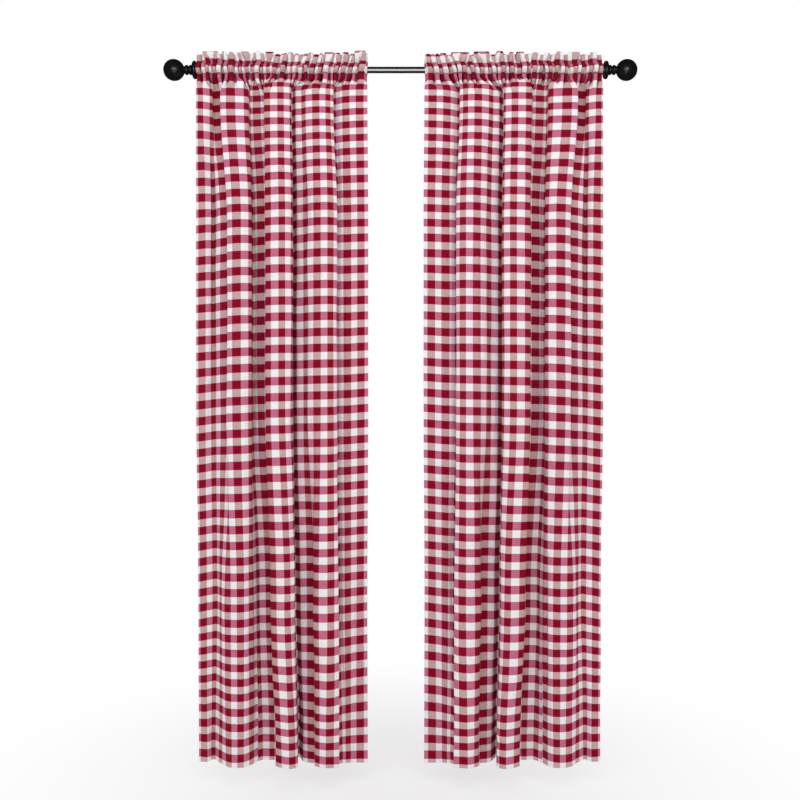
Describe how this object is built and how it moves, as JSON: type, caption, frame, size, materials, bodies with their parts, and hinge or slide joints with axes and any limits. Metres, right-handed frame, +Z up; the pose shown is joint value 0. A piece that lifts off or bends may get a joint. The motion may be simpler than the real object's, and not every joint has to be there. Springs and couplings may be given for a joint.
{
  "type": "pair of gathered checked curtains on a rod",
  "caption": "Floor-length checked cloth curtains with ruffled rod-pocket headings, gathered on a thin round black rod with ball finials.",
  "frame": {"origin": "on the rod's axis, midway between its ends", "axes": "+X along the rod to the right, +Y towards the wall behind, so the curtains face -Y, and +Z up"},
  "size_m": [1.4356, 0.1085, 2.146],
  "materials": {
    "gingham": "plain-woven red and white gingham of even checks, matt and soft",
    "rod_lacquer": "smooth black lacquer with a soft gloss",
    "finial_black": "satin black paint, fine-grained"
  },
  "bodies": {
    "root": {"panel_left": "gingham", "panel_right": "gingham", "rod": "rod_lacquer", "collar_left": "finial_black", "collar_right": "finial_black", "finial_left": "finial_black", "finial_right": "finial_black"}
  },
  "joints": []
}
